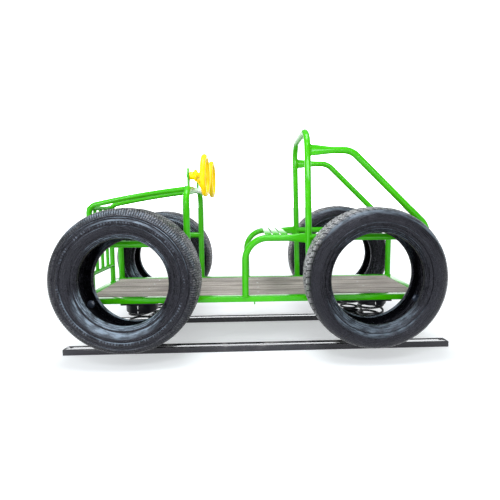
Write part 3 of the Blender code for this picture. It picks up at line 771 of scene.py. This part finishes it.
def plank_outline(low, high):
    """A board's end: rounded lower corners and fine ribs across its top, as (y, z)."""
    corner = 0.0015
    width = high.y - low.y
    ribs = round((width - 2 * corner) / RIB_PITCH)
    pitch = (width - 2 * corner) / ribs
    outline = [(low.y, low.z + corner), (low.y + corner, low.z)]
    outline += [(high.y - corner, low.z), (high.y, low.z + corner), (high.y, high.z - corner)]
    for k in range(ribs):
        right = high.y - corner - k * pitch
        outline += [(right, high.z), (right - 0.52 * pitch, high.z)]
        outline += [(right - 0.62 * pitch, high.z - RIB_DEPTH), (right - 0.90 * pitch, high.z - RIB_DEPTH)]
    outline += [(low.y + corner, high.z), (low.y, high.z - corner)]
    return outline


def build_frame(green):
    """Every bent tube at full roundness, with its flattened ends and the welds round its joints."""
    low, high, middle = size_of("dash_hoop")
    tube_radius = (high.x - low.x) / 2
    dash_x, leg_y, dash_top = middle.x, high.y - tube_radius, high.z - tube_radius
    deck = size_of("deck_rail_near")[1].z
    foot = deck - 0.001
    roll_low, roll_high, _ = size_of("roll_bar")
    roll_foot_x, roll_top_x = roll_high.x - tube_radius, roll_low.x + tube_radius
    roll_top = roll_high.z - tube_radius
    welds = Welds()

    def roll_x(z):
        return roll_foot_x + (roll_top_x - roll_foot_x) * (z - deck) / (roll_top - deck)

    def hoop(name, node, foot_x, top_x, top_z, bend):
        corners = [(foot_x, -leg_y, foot), (top_x, -leg_y, top_z)]
        corners += [(top_x, leg_y, top_z), (foot_x, leg_y, foot)]
        coated(tube(rounded(corners, (bend, bend)), tube_radius, (1, 0, 0)), name, green, node)

    hoop("dash_bar", "dash_hoop", dash_x, dash_x, dash_top, DASH_BEND)
    hoop("roll_cage_bar", "roll_bar", roll_foot_x, roll_top_x, roll_top, ROLL_BEND)
    for side, sign in SIDES:
        y = sign * leg_y
        low, high, _ = size_of(f"seat_loop_{side}")
        post_x, seat_z = low.x + tube_radius, high.z - SEAT_FLAT[2] / 2
        corners = [(post_x, y, foot), (post_x, y, seat_z), (roll_x(seat_z) - 0.004, y, seat_z)]
        path = rounded(corners, (SEAT_BEND,))
        coated(tube(path, tube_radius, flat=SEAT_FLAT), f"seat_tube_{side}", green, f"seat_loop_{side}")
        welds.foot(post_x, y, deck, tube_radius)
        tall, thick = SEAT_FLAT[2] / 2, SEAT_FLAT[3] / 2
        welds.saddle((roll_x(seat_z), y, seat_z), (-1, 0, 0), (0, 0, 1), tube_radius, tall, thick)

        low, high, middle = size_of(f"back_stay_{side}")
        stay_radius = (high.y - low.y) / 2
        rear_x, stay_z = high.x - stay_radius, high.z - STAY_FLAT[2] / 2
        corners = [(rear_x, y, foot), (rear_x, y, STAY_FOOT_CORNER_Z[side]), (STAY_CORNER_X[side], y, stay_z)]
        path = rounded(corners + [(roll_x(stay_z) + 0.004, y, stay_z)], (STAY_BEND, STAY_BEND))
        coated(tube(path, stay_radius, flat=STAY_FLAT), f"stay_{side}", green, f"back_stay_{side}")
        welds.foot(rear_x, y, deck, stay_radius)
        tall, thick = STAY_FLAT[2] / 2, STAY_FLAT[3] / 2
        welds.saddle((roll_x(stay_z), y, stay_z), (1, 0, 0), (0, 0, 1), tube_radius, tall, thick)

        rail_z = size_of(f"rear_side_rail_{side}")[2].z
        path = [(roll_x(rail_z), y, rail_z), (rear_x, y, rail_z)]
        coated(tube(path, tube_radius), f"rear_rail_{side}", green, f"rear_side_rail_{side}")
        weld_radius = tube_radius - 0.0003
        welds.saddle((roll_x(rail_z), y, rail_z), (1, 0, 0), (0, 0, 1), tube_radius, weld_radius, weld_radius)
        welds.saddle((rear_x, y, rail_z), (-1, 0, 0), (0, 0, 1), stay_radius, weld_radius, stay_radius)

        low, high, _ = size_of(f"front_side_rail_{side}")
        post_x, rail_z = low.x + tube_radius, high.z - tube_radius
        path = rounded([(post_x, y, foot), (post_x, y, rail_z), (dash_x, y, rail_z)], (FRONT_BEND,))
        coated(tube(path, tube_radius), f"front_rail_{side}", green, f"front_side_rail_{side}")
        welds.foot(post_x, y, deck, tube_radius)
        welds.saddle((dash_x, y, rail_z), (-1, 0, 0), (0, 0, 1), tube_radius, weld_radius, weld_radius)
        for x in (dash_x, roll_foot_x):
            welds.foot(x, y, deck, tube_radius)
    build_bonnet(green, welds, dash_x, foot, deck, tube_radius)
    build_bench(green)
    welds.piece("frame_welds", green, "platform", slot="green_steel", sharp=70)


def build_bonnet(green, welds, dash_x, foot, deck, tube_radius):
    """The bonnet tubes and the grille."""
    post_x = size_of("hood_tube_near")[0].x + HOOD_RADIUS
    corner_x = post_x + 0.002
    for side, sign in SIDES:
        back = Vector((dash_x, sign * HOOD_BACK_Y, HOOD_BACK_Z))
        corner = Vector((corner_x, sign * HOOD_FRONT_Y, HOOD_CORNER_Z))
        arch = []
        for k in range(13):
            point = back.lerp(corner, k / 12)
            point.z += 4 * HOOD_ARCH * k / 12 * (1 - k / 12)
            arch.append(point)
        path = rounded(arch + [Vector((post_x, corner.y, foot))], [0] * 11 + [HOOD_BEND])
        coated(tube(path, HOOD_RADIUS), f"bonnet_tube_{side}", green, f"hood_tube_{side}")
        welds.foot(post_x, corner.y, deck, HOOD_RADIUS)
        welds.saddle(back, (-1, 0, 0), (0, 1, 0), tube_radius, HOOD_RADIUS, HOOD_RADIUS)
    low, high, middle = size_of("front_grille")
    rail, bar = GRILLE_RAIL_RADIUS, GRILLE_BAR_RADIUS
    top, bottom = high.z - rail, low.z + rail
    grille = Shape()
    for z in (top, bottom):
        ends = (middle.x, -HOOD_FRONT_Y, z), (middle.x, HOOD_FRONT_Y, z)
        grille.skin(tube_rings(ends, rail, (1, 0, 0)))
        for _, sign in SIDES:
            centre = (post_x, sign * HOOD_FRONT_Y, z)
            welds.saddle(centre, (0, -sign, 0), (0, 0, 1), HOOD_RADIUS, rail, rail)
    for k in (-1, 0, 1):
        y = k * GRILLE_BAR_PITCH
        grille.skin(tube_rings([(middle.x, y, bottom), (middle.x, y, top)], bar, (0, 1, 0)))
        for z, up in ((bottom, 1), (top, -1)):
            centre = (middle.x, y, z)
            welds.saddle(centre, (0, 0, up), (0, 1, 0), rail, bar, bar)
    coated(grille, "grille", green, "front_grille")


def build_bench(green):
    for k in range(3):
        plain_block(f"bench_slat_{k + 1}", f"seat_slat_{k + 1}", 0.0014, green, "green_steel")


def build_steering(green, yellow, zinc):
    """Plates, bolts with washers, and the wheels with their spokes blended into hub and rim."""
    for side, _ in SIDES:
        low, high, middle = size_of(f"steering_plate_{side}")
        plate = bmesh.new()
        bmesh.ops.create_cube(plate, size=1.0)
        bottom = low.z - 0.004
        size = Vector((high.x - low.x, high.y - low.y, high.z - bottom))
        centre = Vector((middle.x, middle.y, (high.z + bottom) / 2))
        plate.transform(Matrix.Translation(centre) @ Matrix.Diagonal((*size, 1.0)))
        corners = [e for e in plate.edges if all(v.co.z > middle.z for v in e.verts)]
        corners = [e for e in corners if abs(e.verts[0].co.x - e.verts[1].co.x) > 0.001]
        bmesh.ops.bevel(plate, geom=corners, offset=0.012, segments=10, affect="EDGES", profile=0.5)
        sharp = [e for e in plate.edges if len(e.link_faces) == 2 and e.calc_face_angle() > 0.7]
        bmesh.ops.bevel(plate, geom=sharp, offset=0.0010, segments=2, affect="EDGES", profile=0.5)
        shape = Shape()
        shape.take(plate)
        coated(shape, f"wheel_plate_{side}", green, f"steering_plate_{side}")

        low, high, middle = size_of(f"steering_bolt_{side}")
        head = (high.z - low.z) / 2
        bolt = Shape()
        place = (low.x + 0.010, middle.y, middle.z)
        edge, shank = head * 0.80, high.x - place[0]
        washer = [(0, 0.0002), (head, 0.0002), (head, -0.0014), (head * 0.94, -0.0020), (edge, -0.0020)]
        dome = [(edge * math.cos(a), -0.0020 - 0.0078 * math.sin(a)) for a in DOME_ANGLES]
        bolt.revolve(washer + dome + [(0, -0.0098)], 40, (1, 0, 0), place)
        bolt.revolve([(0, 0), (0.0058, 0), (0.0058, shank), (0, shank)], 24, (1, 0, 0), place)
        bolt.piece(f"wheel_bolt_{side}", zinc, "platform", [f"steering_bolt_{side}"], "bolt")
        build_wheel(side, yellow)


def build_wheel(side, yellow):
    node = f"steering_wheel_{side}"
    low, high, middle = size_of(node)
    outer = (high.z - low.z) / 2
    plane_x = high.x - RIM_HALF_DEPTH
    place = (plane_x, middle.y, middle.z)
    ring = outer - RIM_HALF_WIDTH
    wheel = Shape()
    rim = [(ring + RIM_HALF_WIDTH * math.cos(a), RIM_HALF_DEPTH * math.sin(a)) for a in circle(20)]
    wheel.revolve(rim, 120, (1, 0, 0), place)
    wheel.revolve(HUB_BASE + HUB_SHOULDER + HUB_CAP, 48, (1, 0, 0), place)
    for angle in SPOKE_ANGLES:
        turn = Matrix.Rotation(math.radians(angle), 3, "X")
        rings = []
        for k in range(13):
            share = k / 12
            reach = 0.010 + (ring - 0.014) * share
            depth = -0.041 + 0.037 * share**1.15
            flare = 1 + 0.55 * (2 * share - 1) ** 4
            wide, thick = 0.0112 * flare, 0.0052
            outline = []
            for a in circle(16):
                full = 1.12 - 0.12 * abs(math.cos(2 * a))
                outline.append((wide * math.cos(a) * full, thick * math.sin(a)))
            centre = Vector((depth, 0, -reach))
            along = Vector((0.036, 0, -0.075)).normalized()
            normal = Vector((-along.z, 0, along.x))
            section_points = [centre + Vector((0, a, 0)) + normal * b for a, b in outline]
            rings.append([Vector(place) + turn @ point for point in section_points])
        wheel.skin(rings)
    obj = wheel.piece(f"toy_wheel_{side}", yellow, node, [node], "wheel_plastic", 180)
    remesh = obj.modifiers.new("mould", "REMESH")
    remesh.mode = "VOXEL"
    remesh.voxel_size = 0.0016
    remesh.use_smooth_shade = True
    smooth = obj.modifiers.new("fillets", "SMOOTH")
    smooth.factor = 0.5
    smooth.iterations = 7


# ---------------------------------------------------------------- tyres


def at_share(points, lateral):
    """The share of the way from bead to tread at a distance from the middle plane, on the crown."""
    shares, halves = zip(*points)
    return float(np.interp(lateral, halves[::-1], shares[::-1]))


def grid_faces(rows, columns):
    """The faces of a grid of points that closes on itself both ways."""
    here = np.arange(rows * columns).reshape(rows, columns)
    right = np.roll(here, -1, axis=1)
    below = np.roll(here, -1, axis=0)
    return np.stack([here, right, np.roll(below, -1, axis=1), below], axis=-1)


def lathe_grid(profile, angles, zone_values, depths=None):
    """A closed profile of (radius, lateral) at each angle, less its depths: points, faces and zones."""
    radius = np.array([p[0] for p in profile])[None, :].repeat(len(angles), 0)
    lateral = np.array([p[1] for p in profile])[None, :].repeat(len(angles), 0)
    turn = np.array(angles)[:, None] if np.ndim(angles) == 1 else np.array(angles)
    if depths is not None:
        radius = radius - depths
    points = np.stack([radius * np.cos(turn), lateral, radius * np.sin(turn)], axis=-1).reshape(-1, 3)
    rows, columns = radius.shape
    faces = grid_faces(rows, columns).reshape(-1, 4)
    zones = np.broadcast_to(zone_values, (rows, columns, 3)).reshape(-1, 3)
    return points, faces, zones


def tyre_body(bead, tread, wall):
    """The carcass: both sidewalls, the cavity and a plain crown under the tread."""
    half = [(bead + share * (tread - bead), lateral) for share, lateral in wall + CROWN_BASE]
    cavity = [(bead + share * (tread - bead), lateral) for share, lateral in CAVITY]
    profile = half + [(bead + 0.970 * (tread - bead), 0.0)] + [(r, -w) for r, w in reversed(half)]
    return profile + [(r, -w) for r, w in reversed(cavity)] + cavity[1:]


def tread_profile(bead, tread, width):
    """Columns across the tread as (radius, lateral), each one's groove depth, and the hidden skirt."""
    columns = [(edge, 0.0) for edge in (width, *SHOULDER_STEPS) if edge <= width]
    for inner, outer, depth in reversed(TREAD_GROOVES):
        columns += [(outer, 0.0), (outer - GROOVE_WALL, depth), (inner + GROOVE_WALL, depth), (inner, 0.0)]
        columns.append(((inner + outer) / 2 - 0.009, 0.0))
    columns = [c for c in columns if c[0] > 0.003] + [(0.0, 0.0)]
    lateral = columns + [(-w, depth) for w, depth in reversed(columns[:-1])]
    top = [(bead + at_share(CROWN, abs(w)) * (tread - bead), w) for w, _ in lateral]
    skirt = [(r - TREAD_SKIRT, w * 0.96) for r, w in reversed(top[::4])]
    return top, [depth for _, depth in lateral], skirt


def tread_row(lateral):
    """The row of blocks at a distance from the middle plane."""
    if lateral > TREAD_GROOVES[2][0]:
        return "outer"
    return "middle" if lateral > TREAD_GROOVES[1][0] else "inner"


def tread_band(bead, tread, style):
    """The tread: rows of blocks between round grooves, each row cut across on its own beat."""
    (width, length, cut), rows = TREADS[style]
    top, grooves, skirt = tread_profile(bead, tread, width)
    profile = top + skirt
    pitches = round(math.tau * tread / length)
    walls = (-CUT_WALL, CUT_WALL)
    edges = sorted({round(e + wall, 4) for span, _ in rows.values() for e in span for wall in walls})
    turns = [math.tau * (p + f) / pitches for p in range(pitches) for f in edges]
    beats = np.tile(np.array(edges), pitches)
    pitch = math.tau / pitches
    slant = np.array([-SLANT * pitch * min(abs(w), 0.0765) for _, w in profile])
    turn = np.array(turns)[:, None] + slant[None, :]
    depths = np.zeros((len(turns), len(profile)))
    zones = np.zeros((len(turns), len(profile), 3))
    zones[:, : len(top), 0] = [np.interp(abs(w), (0.056, 0.074), (1.0, SHOULDER_DUST[style])) for _, w in top]
    for k, (_, w) in enumerate(top):
        if grooves[k]:
            depths[:, k] = grooves[k]
            zones[:, k, 1] = 1.0
            continue
        row = tread_row(abs(w))
        (first, last), share = rows[row]
        fade = smooth_step((width - abs(w)) / 0.002) if row == "outer" else 1.0
        chosen = (beats > first) & (beats < last)
        depths[chosen, k] = cut * share * fade
        zones[chosen, k, 1] = fade
    return lathe_grid(profile, turn, zones, depths)


def serrated_band(bead, tread, wall, shares):
    """Fine radial ribs moulded over part of the height of both sidewalls."""
    known, halves = zip(*wall)
    first, last = shares
    inset = 0.06 * (last - first)
    across = (first, first + inset, (first + last) / 2, last - inset, last)
    lifts = (-0.0006, 0.0007, 0.0007, 0.0007, -0.0006)
    middle = bead + (first + last) / 2 * (tread - bead)
    ribs = round(math.tau * middle / RIB_SPACING)
    beats = np.tile(np.array([-0.0016, 0.0, 0.0, -0.0016]), ribs)
    angles = np.array([math.tau * (n + f) / ribs for n in range(ribs) for f in (0.0, 0.2, 0.6, 0.8)])
    parts = []
    for sign in (1, -1):
        half = np.array([np.interp(share, known, halves) for share in across])
        lateral = np.minimum(half[None, :] + np.array(lifts)[None, :] + beats[:, None], 0.0900)
        radius = np.array([bead + share * (tread - bead) for share in across])[None, :]
        turn = angles[:, None]
        points = np.stack([radius * np.cos(turn), sign * lateral, radius * np.sin(turn)], axis=-1)
        rows, columns = lateral.shape
        faces = grid_faces(rows, columns)[:, :-1].reshape(-1, 4)
        if sign > 0:
            faces = faces[:, ::-1]
        zones = np.zeros((rows, columns, 3))
        # Marks the rib tops, which the rubber paints with a lighter bluish grey as a painted highlight.
        zones[beats == 0.0, 1:-1, 2] = 1.0
        parts.append((points.reshape(-1, 3), faces, zones.reshape(-1, 3)))
    return parts


def build_tyre(name, rubber):
    """One tyre: a carcass, its style's sidewall ribs if any, and a tread cut by round and lateral grooves."""
    node = f"tyre_{name}"
    bead, style = TYRE_STYLES[name]
    low, high, centre = size_of(node)
    tread = (high.x - low.x) / 2
    wall = SIDEWALLS[style]
    body = tyre_body(bead, tread, wall)
    crown = [abs(w) <= 0.02 and r >= tread - 0.02 for r, w in body]
    body_zones = np.array([(1.0, 1.0, 0.0) if on else (0.0, 0.0, 0.0) for on in crown])
    parts = [lathe_grid(body, circle(216), body_zones)]
    parts.append(tread_band(bead, tread, style))
    if style in SERRATED:
        parts += serrated_band(bead, tread, wall, SERRATED[style])
    total, all_points, all_faces, all_zones = 0, [], [], []
    for points, faces, zones in parts:
        all_points.append(points)
        all_faces.append(faces + total)
        all_zones.append(zones)
        total += len(points)
    points, zones = np.concatenate(all_points), np.concatenate(all_zones)
    sag = INNER_SAG.get(name)
    if sag:
        radius = np.hypot(points[:, 0], points[:, 2])
        inward = np.clip(points[:, 1] * -math.copysign(1, centre.y) / 0.06, 0, 1)
        share = inward * np.clip((tread - 0.02 - radius) / (tread - 0.02 - bead), 0, 1)
        points[:, 0] += sag[0] * share
        points[:, 2] += sag[1] * share
    mesh = bpy.data.meshes.new(f"road_{node}")
    mesh.from_pydata(points.tolist(), [], np.concatenate(all_faces).tolist())
    bm = bmesh.new()
    bm.from_mesh(mesh)
    bmesh.ops.recalc_face_normals(bm, faces=bm.faces)
    bm.to_mesh(mesh)
    bm.free()
    attribute = mesh.attributes.new("tyre_zones", "FLOAT_COLOR", "POINT")
    colours = np.hstack([zones, np.ones((len(zones), 1))]).astype(np.float32)
    attribute.data.foreach_set("color", colours.ravel())
    finish_piece(mesh, f"road_{node}", rubber, "platform", [node], 35, centre)


def build_tyre_bolts(cap):
    """A dome cap over a washer inside the tyre, and the spacer collar between tyre and rail."""
    for name in TYRE_STYLES:
        for place in ENDS:
            node = f"tyre_bolt_{name}_{place}"
            low, high, middle = size_of(node)
            sign = math.copysign(1, middle.y)
            start, end = (low.y, high.y) if sign > 0 else (high.y, low.y)
            length = abs(end - start)
            head = (high.x - low.x) / 2
            rail = abs(size_of("deck_rail_near")[0].y) - abs(start)
            dome = [(head * 0.90 * math.cos(a), length - 0.0075 + 0.0072 * math.sin(a)) for a in DOME_ANGLES]
            bolt = Shape()
            spacer_end = rail + SPACER_LENGTH
            profile = [(0, rail), (SPACER_RADIUS, rail), (SPACER_RADIUS, spacer_end)]
            profile += [(SHANK_RADIUS, spacer_end), (SHANK_RADIUS, length - 0.0095)]
            profile += [(head, length - 0.0095), (head, length - 0.0080), (head * 0.95, length - 0.0075)]
            profile += dome + [(0, length - 0.0003)]
            bolt.revolve(profile, 36, (0, sign, 0), (middle.x, start, middle.z))
            bolt.piece(f"cap_{name}_{place}", cap, "platform", [node], "bolt")


# ---------------------------------------------------------------- stage

CAMERA_PLACE = (-0.0378, -1.8188, 0.7060)
CAMERA_TURN = (0.0475, 0.0896, 0.0034)  # yaw, pitch and roll
CAMERA_LENS = 24.674
CAMERA_SHIFT = (-0.0362, -0.0317)
FLOOR_WHITENS = (1.4, 3.2)  # how far out the floor's glow starts to rise above its strength by the car and is full, turning the floor white
# Name, place, point it faces, width, height and watts of each soft lamp
LAMPS = (
    ("top_light", (-0.2, -0.7, 3.0), (-0.1, 0.0, 0.3), 1.6, 1.2, 70),
    ("front_strip", (0.0, -3.3, 1.30), (0.0, 0.0, 0.35), 4.6, 0.28, 52),
    ("front_high", (-0.2, -2.5, 2.7), (0.0, 0.0, 0.40), 1.3, 0.5, 26),
    ("side_strip", (-2.5, -2.7, 1.25), (0.0, 0.0, 0.60), 0.30, 2.5, 36),
)


def build_sky():
    """Light that grows towards overhead, with a bright band low behind the car; white to the eye."""
    world = bpy.data.worlds.new("studio")
    world.use_nodes = True
    sky = Nodes(world.node_tree)
    background = sky.tree.nodes["Background"]
    _, y, z = sky.node("SeparateXYZ", "X", Vector=sky.node("TexCoord", "Generated")).node.outputs
    rising = sky.span(z, 0.10, 0.85, 0.16, 0.60)
    behind = sky.times(sky.span(y, 0.25, 0.80), sky.span(z, 0.06, 0.40, 2.6, 0.0))
    seen = sky.node("LightPath", "Is Camera Ray")
    sky.put(background.inputs["Strength"], sky.plus(sky.plus(rising, behind), seen))
    sky.put(background.inputs["Color"], (0.94, 0.97, 1.0))
    bpy.context.scene.world = world


def build_stage():
    """A pale floor that glows, faintly by the car and fully further out, a soft sky that is brightest
    overhead and behind the car, and a camera beside the car.
    """
    floor = bpy.data.meshes.new("floor")
    floor.from_pydata([(-40, -30, 0), (40, -30, 0), (40, 55, 0), (-40, 55, 0)], [], [(0, 1, 2, 3)])
    ground = bpy.data.objects.new("floor", floor)
    ground.location.z = -0.0005
    bpy.context.scene.collection.objects.link(ground)
    paint = Paint("glowing_floor", Roughness=0.6)
    paint.set("Base Color", paint.mix(paint.noise(0.8), (0.62, 0.63, 0.635), (0.64, 0.645, 0.65)))
    reach = paint.node("VectorMath", "Value", {"operation": "LENGTH"}, Vector=paint.place())
    # Painted glow: the floor glows though it is no lamp, at 0.45 by the car, which lifts the shadows there,
    # and fully further out.
    paint.set("Emission Color", (0.97, 0.985, 1.0))
    paint.set("Emission Strength", paint.span(reach, *FLOOR_WHITENS, 0.45, 1.0))
    floor.materials.append(paint.material)
    build_sky()
    bpy.context.scene.view_settings.view_transform = "Standard"

    for name, place, aim, width, height, watts in LAMPS:
        light = bpy.data.lights.new(name, "AREA")
        light.energy = watts
        light.shape = "RECTANGLE"
        light.size = width
        light.size_y = height
        light.color = (0.92, 0.96, 1.0)
        lamp = bpy.data.objects.new(name, light)
        lamp.location = place
        lamp.rotation_euler = (Vector(aim) - Vector(place)).to_track_quat("-Z", "Y").to_euler()
        bpy.context.scene.collection.objects.link(lamp)

    build_camera()


def build_camera():
    yaw, pitch, roll = CAMERA_TURN
    forward = Vector((math.sin(yaw) * math.cos(pitch), math.cos(yaw) * math.cos(pitch), -math.sin(pitch)))
    level = Vector((math.cos(yaw), -math.sin(yaw), 0))
    down = forward.cross(level)
    right = math.cos(roll) * level + math.sin(roll) * down
    up = -(math.cos(roll) * down - math.sin(roll) * level)
    camera = bpy.data.cameras.new("camera")
    camera.sensor_width = 36.0
    camera.lens = CAMERA_LENS
    camera.shift_x, camera.shift_y = CAMERA_SHIFT
    camera.clip_end = 60.0
    eye = bpy.data.objects.new("camera", camera)
    turn = Matrix((right, up, -forward)).transposed().to_4x4()
    eye.matrix_world = Matrix.Translation(CAMERA_PLACE) @ turn
    bpy.context.scene.collection.objects.link(eye)
    bpy.context.scene.camera = eye


def main():
    build_stage()
    green, gloss, satin = green_powder_coat(), black_gloss(), black_satin()
    yellow, zinc, cap = yellow_plastic(), zinc_steel(), cap_plastic()
    # Each rubber: how much painted sidewall highlight, the least share of tread dust, and the side, towards
    # the light, on which the tread dust is painted lighter.
    rubber = {
        "commercial": tyre_rubber("commercial", 1.0, 0.15, (0.62, 0.0, 0.78)),
        "touring": tyre_rubber("touring", 0.50, 0.90, (-0.70, 0.0, 0.71)),
    }
    build_base(gloss, satin)
    build_springs(spring_paint())
    build_spring_tops(satin)
    build_deck(green, satin, composite_plank(), zinc)
    build_frame(green)
    build_steering(green, yellow, zinc)
    for name, (_, style) in TYRE_STYLES.items():
        build_tyre(name, rubber[style])
    build_tyre_bolts(cap)


main()
